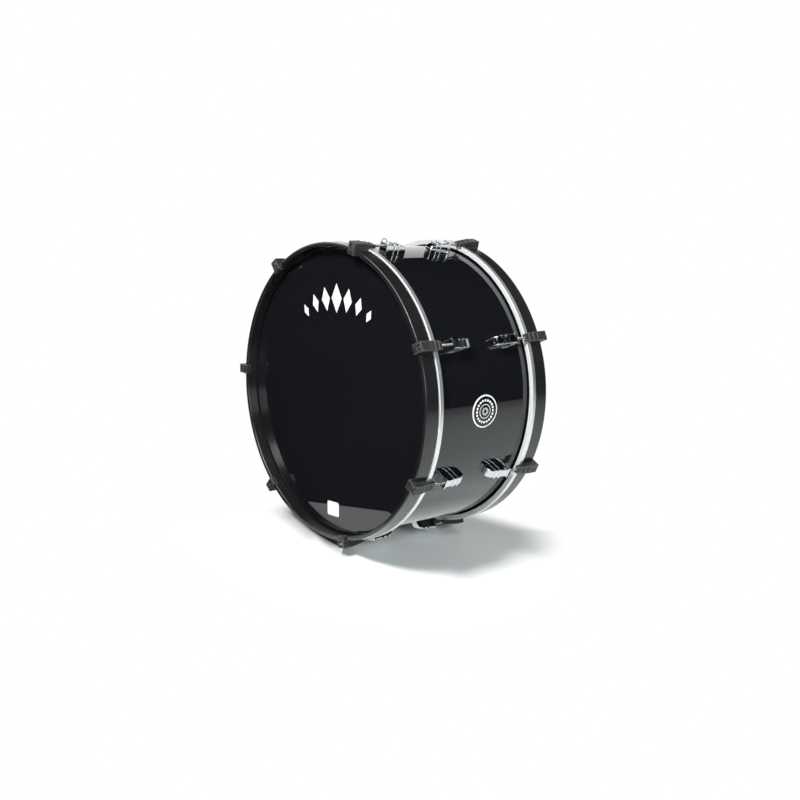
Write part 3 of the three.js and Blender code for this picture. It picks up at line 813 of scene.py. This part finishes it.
for vert in flat_badge.verts:
    angle = BADGE_ANGLE + vert.co.x / SHELL_RADIUS
    radius = SHELL_RADIUS + SEAT + vert.co.z
    vert.co = drum_centre + Vector((radius * math.sin(angle), vert.co.y, radius * math.cos(angle)))
badge = soften(piece_from(flat_badge, "badge_plate"))
print("badge:", len(badge.data.polygons), "faces")

# %% Print it
BORDER_FROM, CIRCLE_AT, CIRCLE_HALF = 0.91, 0.42, 0.02
DOTS, DOTS_AT, DOT_RADIUS = 20, 0.66, 0.075
badge_print, shader = new_finish(
    "screen printed polyester, gloss", GLOSS_BLACK, Roughness=0.04, Coat_Weight=0.3, Coat_Roughness=0.03)
tree = shader.id_data
flat = add(tree, "ShaderNodeUVMap", uv_map="print").outputs["UV"]
parts = add(tree, "ShaderNodeSeparateXYZ", {"Vector": flat}).outputs
reach = add(tree, "ShaderNodeVectorMath", {0: flat}, operation="LENGTH")
border = add(tree, "ShaderNodeMath", {0: reach, 1: BORDER_FROM}, operation="GREATER_THAN")
circle = add(tree, "ShaderNodeMath", {0: reach, 1: CIRCLE_AT, 2: CIRCLE_HALF}, operation="COMPARE")
around = add(tree, "ShaderNodeMath", {0: parts["X"], 1: parts["Y"]}, operation="ARCTAN2")
off_centre = add(tree, "ShaderNodeMath", {0: around, 1: math.pi / DOTS}, operation="PINGPONG")
dot_across = add(tree, "ShaderNodeMath", {0: off_centre, 1: DOTS_AT}, operation="MULTIPLY")
dot_out = add(tree, "ShaderNodeMath", {0: reach, 1: DOTS_AT}, operation="SUBTRACT")
from_dot = add(tree, "ShaderNodeCombineXYZ", {"X": dot_across, "Y": dot_out})
dot_reach = add(tree, "ShaderNodeVectorMath", {0: from_dot}, operation="LENGTH")
dots = add(tree, "ShaderNodeMath", {0: dot_reach, 1: DOT_RADIUS}, operation="LESS_THAN")
marks = add(tree, "ShaderNodeMath", {0: border, 1: circle}, operation="MAXIMUM")
inked = add(tree, "ShaderNodeMath", {0: marks, 1: dots}, operation="MAXIMUM")
colours = add(
    tree, "ShaderNodeMix", {0: inked, 6: linear(GLOSS_BLACK), 7: linear("#F1F1EF")}, data_type="RGBA")
feed(shader.inputs["Base Color"], colours)
dress(badge, badge_print, "badge_plate", "badge")

# %% Make the vent grommet
GROMMET_FOOT = 310 * MM
GROMMET_FLANGE = 1.2 * MM
GROMMET_BORE, GROMMET_TUBE, GROMMET_EDGE = 4 * MM, 6 * MM, 9 * MM
GROMMET_ROUND, GROMMET_LIP = 0.6 * MM, 0.8 * MM
flange_rest = SHELL_RADIUS + SEAT + BADGE_TOP
grommet_top = flange_rest + GROMMET_FLANGE
grommet = piece_from(lathe([
    (GROMMET_BORE, GROMMET_FOOT), (GROMMET_TUBE, GROMMET_FOOT),
    (GROMMET_TUBE, flange_rest), (GROMMET_EDGE, flange_rest),
    *arc((GROMMET_EDGE - GROMMET_ROUND, grommet_top - GROMMET_ROUND), GROMMET_ROUND, 0, 90, 5),
    *arc((GROMMET_BORE + GROMMET_LIP, grommet_top - GROMMET_LIP), GROMMET_LIP, 90, 180, 5),
], 64, ring=True), "vent_eyelet", square_to_badge)
dress(soften(grommet), chrome, "chrome_fitting", "vent_grommet")
print("grommet:", len(grommet.data.polygons), "faces")

# %% [markdown]
# ## Eyelets and sling rings
#
# Two eye bolts stand on the shell near its top, each with a loose ring for a sling hook. Wire bent into a
# ring is a circle turned on the lathe, well away from the axis. A ring's plane is square to its joint's
# axis, and its centre is the centre of the CAD ring, so both are read from the frame.

# %% Draw the eye bolt's parts
FACET = 2 * math.pi / FACETS
FLAT_SHELL = SHELL_RADIUS * FACET_SHARE
EYE_HEIGHT = 6.2 * MM
EYE_LOOP = 4.4 * MM
EYE_WIRE = 1.2 * MM
BOLT_END = 314 * MM
BOLT_RADIUS = 2.2 * MM
FOOT_RADIUS = 5 * MM
FOOT_RISE = 0.4 * MM
FOOT_ROUND = 0.7 * MM
FOOT_CROWN = 1.6 * MM
seat = FLAT_SHELL + SEAT


def wire_ring(radius, thickness, sides):
    section = arc((0, 0), thickness, 0, 360, 16)[:-1]
    return lathe([(radius + across, height) for across, height in section], sides, ring=True)


def eye_bolt(name):
    """A bolt through the shell with a round foot and a loop above it, drawn along Z."""
    foot = lathe([
        (0, BOLT_END), (BOLT_RADIUS, BOLT_END), (BOLT_RADIUS, seat), (FOOT_RADIUS, seat),
        *arc((FOOT_RADIUS - FOOT_ROUND, seat + FOOT_RISE), FOOT_ROUND, 0, 90, 5), (0, seat + FOOT_CROWN)], 40)
    above_foot = Matrix.Translation((0, 0, FLAT_SHELL + EYE_HEIGHT)) @ LIE_ALONG_Y
    loop = piece_from(wire_ring(EYE_LOOP, EYE_WIRE, 64), "loop", above_foot)
    return combine(piece_from(foot, name), "UNION", loop)


# %% Make the eye bolts
for name, turn in (("centre", 0), ("front", 90)):
    low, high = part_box(f"eye_nut_{name}")
    nut = (low + high) / 2 - drum_centre
    facet_angle = round(math.atan2(nut.x, nut.z) / FACET) * FACET
    shift = nut.x * math.cos(facet_angle) - nut.z * math.sin(facet_angle)
    place = (
        to_centre @ Matrix.Rotation(facet_angle, 4, "Y") @ Matrix.Translation((shift, nut.y, 0))
        @ Matrix.Rotation(math.radians(turn), 4, "Z"))
    bolt = eye_bolt(f"eyelet_{name}")
    bolt.data.transform(place)
    dress(soften(bolt), wire, "plated_steel", f"eye_bolt_{name}")
    print(bolt.name, "at", [round(v, 3) for v in place @ Vector((0, 0, seat))])

# %% Make the sling rings
RING_RADIUS = 8.2 * MM
RING_WIRE = 0.9 * MM
joint_axis = {joint["child"]: Vector(joint["axis"]) for joint in frame["joints"]}
for name in ("centre", "front"):
    node = f"sling_ring_{name}"
    low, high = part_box(node)
    centre = (low + high) / 2
    tilt = joint_axis[node].to_track_quat("Z", "Y").to_matrix().to_4x4()
    sling = piece_from(wire_ring(RING_RADIUS, RING_WIRE, 72), f"ring_{name}", Matrix.Translation(centre) @ tilt)
    dress(soften(sling), wire, "plated_steel", node, body=node)
    print(node, "centre", [round(v, 3) for v in centre])

# %% Nuts that stay as they are
for node in ("eye_nut_centre", "eye_nut_front", "vent_nut"):
    plain = frame["nodes"][node]
    plain.data.materials.clear()
    plain.data.materials.append(zinc)

# %% [markdown]
# ## Prints on the front head
#
# White vinyl on the black film: an arc of lozenges that follows the upper rim, and a small bare label low
# down. Both are generic. They are centred on the line that is upright in the photograph, so they are turned
# by the drum's roll. They are real thin sheets, a seventh of a millimetre thick, because a raised edge
# catches light where paint doesn't.

# %% Vinyl
VINYL = 0.15 * MM
vinyl, shader = new_finish("white cut vinyl", "#F4F4F2", Roughness=0.3, Coat_Weight=0.1)
drift(shader, apart=4, detail=3.0, low=0.25, high=0.4)
film_face = min(v.co.y for v in bpy.data.objects["film_front"].data.vertices)
on_head = Matrix.Translation((0, film_face - 0.02 * MM, AXIS_HEIGHT)) @ Matrix.Rotation(-DRUM_ROLL, 4, "Y")


def sheet_of(outlines, name):
    """Thin closed sheets from (x, z) outlines on the front head."""
    flat = [[on_head @ Vector((x, 0, z)) for x, z in outline] for outline in outlines]
    return dress(piece_from(prism(flat, (0, -VINYL, 0)), name), vinyl, "badge_plate")


# %% Cut the lozenges
LOZENGES = 7
ARC_RADIUS = 215 * MM
ARC_STEP = math.radians(11)
LOZENGE_LENGTH, LOZENGE_LOSS, LOZENGE_SHAPE = 34, 6, 0.55
lozenges = []
for i in range(LOZENGES):
    place = i - (LOZENGES - 1) / 2
    length = (LOZENGE_LENGTH - LOZENGE_LOSS * abs(place)) * MM
    turned = Matrix.Rotation(-place * ARC_STEP, 2)
    corners = ((-length * LOZENGE_SHAPE, 0), (0, -length), (length * LOZENGE_SHAPE, 0), (0, length))
    lozenges.append([turned @ (Vector(corner) + Vector((0, ARC_RADIUS))) for corner in corners])
ornament = sheet_of(lozenges, "head_ornament")
print(ornament.name, len(ornament.data.polygons), "faces")

# %% Cut the label
LABEL_HALF = (22 * MM, 17 * MM)
LABEL_CORNER = 5 * MM
LABEL_CENTRE = (-18 * MM, -281 * MM)
label_outline = []
for way_x, way_z, start in ((1, 1, 0), (-1, 1, 90), (-1, -1, 180), (1, -1, 270)):
    centre = (
        way_x * (LABEL_HALF[0] - LABEL_CORNER) + LABEL_CENTRE[0],
        way_z * (LABEL_HALF[1] - LABEL_CORNER) + LABEL_CENTRE[1])
    label_outline += arc(centre, LABEL_CORNER, start, start + 90, 6)
label = sheet_of([label_outline], "head_label")
print(label.name, len(label.data.polygons), "faces")

# %% [markdown]
# ## Studio
#
# A gloss black drum shows its surroundings more than itself. The photographer stood it on white paper with
# a bright backdrop behind, and kept everything else dark, so the lacquer stays black except for a band at
# the top, where the backdrop glances off, and below, where it mirrors the paper. Three things light the
# drum: a soft lamp in front and above, a weaker one from the right that opens the shadow and leaves no
# highlight, and the plain grey light of the world. Whatever looks at the world directly or in a mirror sees
# the white backdrop in its place.


# %% Helpers for the studio
WHITE = linear("#FFFFFF")


def emptied(owner):
    """The node tree of a world or a material, with nothing in it."""
    owner.use_nodes = True
    owner.node_tree.nodes.clear()
    return owner.node_tree


def direct_rays(tree):
    """The kinds of ray, and 1 for those from the eye or from a mirror."""
    ray = add(tree, "ShaderNodeLightPath").outputs
    direct = {0: ray["Is Camera Ray"], 1: ray["Is Glossy Ray"]}
    return ray, add(tree, "ShaderNodeMath", direct, operation="MAXIMUM")


# %% World
WORLD_FILL = 0.2
world = bpy.data.worlds.new("studio")
bpy.context.scene.world = world
tree = emptied(world)
ray, direct = direct_rays(tree)
fill = add(tree, "ShaderNodeBackground", {"Color": WHITE, "Strength": WORLD_FILL})
backdrop = add(
    tree, "ShaderNodeMix", {0: ray["Is Glossy Ray"], 6: WHITE, 7: linear("#FFFFF5")}, data_type="RGBA")
white = add(tree, "ShaderNodeBackground", {"Color": backdrop})
sky = add(tree, "ShaderNodeMixShader", {0: direct, 1: fill, 2: white})
add(tree, "ShaderNodeOutputWorld", {"Surface": sky})

# %% Lamps
LAMP_DISTANCE = 3.0
lamps = (("key", (0.24, -1.0, 1.05), 100, 0.42, (1, 1, 1)), ("side", (0.8, 0.1, 0.5), 46, 1.5, (0.9, 1, 1)))
for name, direction, energy, size, colour in lamps:
    lamp_data = bpy.data.lights.new(name, "AREA")
    lamp_data.energy = energy
    lamp_data.size = size
    lamp_data.color = colour
    lamp = in_scene(name, lamp_data)
    towards = Vector(direction).normalized()
    lamp.location = drum_centre + towards * LAMP_DISTANCE
    lamp.rotation_mode = "QUATERNION"
    lamp.rotation_quaternion = towards.to_track_quat("Z", "Y")
    lamp.visible_glossy = name == "key"
    print(name, "lamp at", [round(v, 2) for v in lamp.location])


# %% [markdown]
# ## Paper
#
# The lit paper is pure white in a photograph like this, so it gives its own white behind, beside and well
# in front of the drum, and is plain matt paper only where the drum's shadow falls. Two measures of
# occlusion darken it where the drum comes close, one narrow and one wide. In mirrors the shadowed paper
# keeps about half its light, for the glow on the shell's underside, and the paper far behind falls off, so
# that the back head shows a soft gradient.


# %% Where each kind of paper begins
paper = bpy.data.materials.new("white paper")
tree = emptied(paper)
ray, direct = direct_rays(tree)
where = add(tree, "ShaderNodeTexCoord").outputs["Object"]
place = add(tree, "ShaderNodeSeparateXYZ", {"Vector": where}).outputs
behind = add(
    tree, "ShaderNodeVectorMath", {0: where, 1: (-0.61, 0.79, 0)}, operation="DOT_PRODUCT")
distance = add(tree, "ShaderNodeVectorMath", {0: where}, operation="LENGTH")
diagonal = add(tree, "ShaderNodeMath", {0: place["Y"], 1: place["X"]}, operation="SUBTRACT")
fades = {}
for name, along, start, end in (
        ("behind", behind, 0.12, 0.2), ("far", distance, 0.38, 0.53), ("left", place["X"], -0.04, -0.12),
        ("far back", place["Y"], 0.5, 1.5), ("off shell", diagonal, -0.15, 0.6),
        ("off top", place["X"], -0.9, -0.5)):
    fades[name] = add(
        tree, "ShaderNodeMapRange", {"Value": along, "From Min": start, "From Max": end},
        interpolation_type="SMOOTHSTEP")

# %% How much it glows
MIRRORED_SHADOW = 0.55
bright = add(tree, "ShaderNodeMath", {0: ray["Is Glossy Ray"], 1: MIRRORED_SHADOW}, operation="MULTIPLY")
for name in ("behind", "far", "left"):
    bright = add(tree, "ShaderNodeMath", {0: bright, 1: fades[name]}, operation="MAXIMUM")
glow = add(tree, "ShaderNodeMath", {0: bright, 1: direct}, operation="MULTIPLY")

# %% How dark it gets near the drum
closeness = []
# Painted shade: two measures of occlusion darken the paper's own colour where the drum comes close, as a
# contact shadow.
for within, dark, clear, lowest in ((0.03, 0.35, 0.85, 0.2), (0.11, 0.68, 0.82, 0.35)):
    near = add(tree, "ShaderNodeAmbientOcclusion", {"Distance": within}, samples=8)
    closeness.append(add(
        tree, "ShaderNodeMapRange",
        {"Value": near.outputs["AO"], "From Min": dark, "From Max": clear, "To Min": lowest}))
contact, soft_edge = closeness
right_half = add(tree, "ShaderNodeMapRange", {"Value": place["X"], "From Min": 0.0, "From Max": 0.08})
eased = add(tree, "ShaderNodeMath", {0: soft_edge, 1: right_half}, operation="MAXIMUM")
painted_contact_shade = add(tree, "ShaderNodeMath", {0: contact, 1: eased}, operation="MINIMUM")
paper_and_painted_shade = add(
    tree, "ShaderNodeMix", {0: painted_contact_shade, 6: linear("#000000"), 7: linear("#F4F4F4")}, data_type="RGBA")
matt = add(tree, "ShaderNodeBsdfDiffuse", {"Color": paper_and_painted_shade})

# %% How it fades in mirrors
dimmed = fades["far back"]
for name in ("off shell", "off top"):
    dimmed = add(tree, "ShaderNodeMath", {0: dimmed, 1: fades[name]}, operation="MULTIPLY")
receding = add(
    tree, "ShaderNodeMapRange", {"Value": place["X"], "From Min": 1.2, "From Max": 3.0, "To Max": 0.2})
dimmed = add(tree, "ShaderNodeMath", {0: dimmed, 1: receding}, operation="MAXIMUM")
mirror_light = add(
    tree, "ShaderNodeMix", {0: dimmed, 6: linear("#F8FFFD"), 7: linear("#2C2C2E")}, data_type="RGBA")
paper_light = add(
    tree, "ShaderNodeMix", {0: ray["Is Glossy Ray"], 6: WHITE, 7: mirror_light}, data_type="RGBA")
lit = add(tree, "ShaderNodeEmission", {"Color": paper_light})
sheet = add(tree, "ShaderNodeMixShader", {0: glow, 1: matt, 2: lit})
add(tree, "ShaderNodeOutputMaterial", {"Surface": sheet})


# %% Lay the floor
def panel(name, corners, material):
    """A flat sheet of the studio through these corners."""
    mesh = bpy.data.meshes.new(name)
    mesh.from_pydata(corners, [], [range(len(corners))])
    mesh.materials.append(material)
    sheet = in_scene(name, mesh)
    return sheet


REACH = 60.0
GROUND = AXIS_HEIGHT - FLESH_RADIUS
panel("floor", [(x * REACH, y * REACH, GROUND) for x, y in ((-1, -1), (1, -1), (1, 1), (-1, 1))], paper)

# %% [markdown]
# ## Flags and cards
#
# Dark flags that only reflections can see keep the lacquer black: overhead, on the right, in front, behind,
# and on the floor before the drum. The one on the floor fades to white on the right, where the chrome of
# the lugs needs something to mirror. Below the flag on the right hangs a graded scrim, which softens the
# line that the horizon draws across the shell. Two bright cards, overhead and at the side, draw the streaks
# on ribs and edges.


# %% What they are made of
RIGHT_FOOT = 0.55
CARD_STRENGTH = 5.0


def gives_off(tree, colour, strength=1.0):
    """Ends a tree whose sheet gives off this colour by itself."""
    light = add(tree, "ShaderNodeEmission", {"Color": colour, "Strength": strength})
    add(tree, "ShaderNodeOutputMaterial", {"Surface": light})


flag_black, scrim_grey, card_white = [
    bpy.data.materials.new(name) for name in ("flag black", "scrim, graded grey", "card white")]
tree = emptied(flag_black)
where = add(tree, "ShaderNodeTexCoord").outputs["Object"]
parts = add(tree, "ShaderNodeSeparateXYZ", {"Vector": where}).outputs
on_floor = add(tree, "ShaderNodeMath", {0: parts["Z"], 1: 0.01}, operation="LESS_THAN")
fading = add(
    tree, "ShaderNodeMapRange",
    {"Value": parts["X"], "From Min": 0.5, "From Max": 1.2}, interpolation_type="SMOOTHSTEP")
share = add(tree, "ShaderNodeMath", {0: on_floor, 1: fading}, operation="MULTIPLY")
flag_tone = add(tree, "ShaderNodeMix", {0: share, 6: linear("#101012"), 7: WHITE}, data_type="RGBA")
gives_off(tree, flag_tone)

tree = emptied(scrim_grey)
where = add(tree, "ShaderNodeTexCoord").outputs["Object"]
parts = add(tree, "ShaderNodeSeparateXYZ", {"Vector": where}).outputs
graded = add(
    tree, "ShaderNodeMapRange",
    {"Value": parts["Z"], "From Min": 0.0, "From Max": RIGHT_FOOT, "To Min": 0.9, "To Max": 0.34})
gives_off(tree, graded)
gives_off(emptied(card_white), WHITE, CARD_STRENGTH)

# %% Hang them
LEFT, RIGHT, NEAR, FAR, TOP = -2.5, 3.0, -4.0, 4.2, 2.06
BACK_LEFT, LEFT_END = -0.6, -2.2
CARD_TOP, CARD_FOOT, CARD_RIGHT = 2.0, 1.0, 2.2
FLOOR_FLAG = 0.002


def upright(start, end, foot, top):
    """Corners of a sheet that stands between two places on the floor."""
    return [(*start, foot), (*end, foot), (*end, top), (*start, top)]


overhead = [(LEFT, NEAR), (RIGHT, NEAR), (RIGHT, FAR), (1.2, 2.3), (0, 1.9), (-1.0, 2.3), (LEFT, 3.4)]
before_drum = [
    (-0.12, -0.16), (0.02, -0.37), (RIGHT, -0.7), (RIGHT, NEAR), (LEFT, NEAR), (LEFT, -0.7), (-0.45, -0.2)]
over_card = [(-1.0, -1.2), (1.4, -1.2), (1.4, -0.1), (-1.0, -0.1)]
sheets = (
    ("flag_top", flag_black, [(*place, TOP) for place in overhead]),
    ("flag_right", flag_black, upright((RIGHT, NEAR), (RIGHT, FAR), RIGHT_FOOT, TOP)),
    ("flag_near", flag_black, upright((LEFT, NEAR), (RIGHT, NEAR), 0, TOP)),
    ("flag_back", flag_black, upright((BACK_LEFT, FAR), (RIGHT, FAR), 0, TOP)),
    ("flag_left", flag_black, upright((LEFT, NEAR), (LEFT, LEFT_END), 0, TOP)),
    ("flag_floor", flag_black, [(*place, FLOOR_FLAG) for place in before_drum]),
    ("scrim_right", scrim_grey, upright((RIGHT, NEAR), (RIGHT, FAR), 0, RIGHT_FOOT)),
    ("card_over", card_white, [(*place, CARD_TOP) for place in over_card]),
    ("card_side", card_white, upright((CARD_RIGHT, -2.4), (CARD_RIGHT, -0.8), CARD_FOOT, CARD_TOP)),
)
for name, surface, corners in sheets:
    hidden = panel(name, corners, surface)
    for kind in ("camera", "diffuse", "shadow"):
        setattr(hidden, f"visible_{kind}", False)
    print(name, "hangs from", corners[0], "to", corners[2])
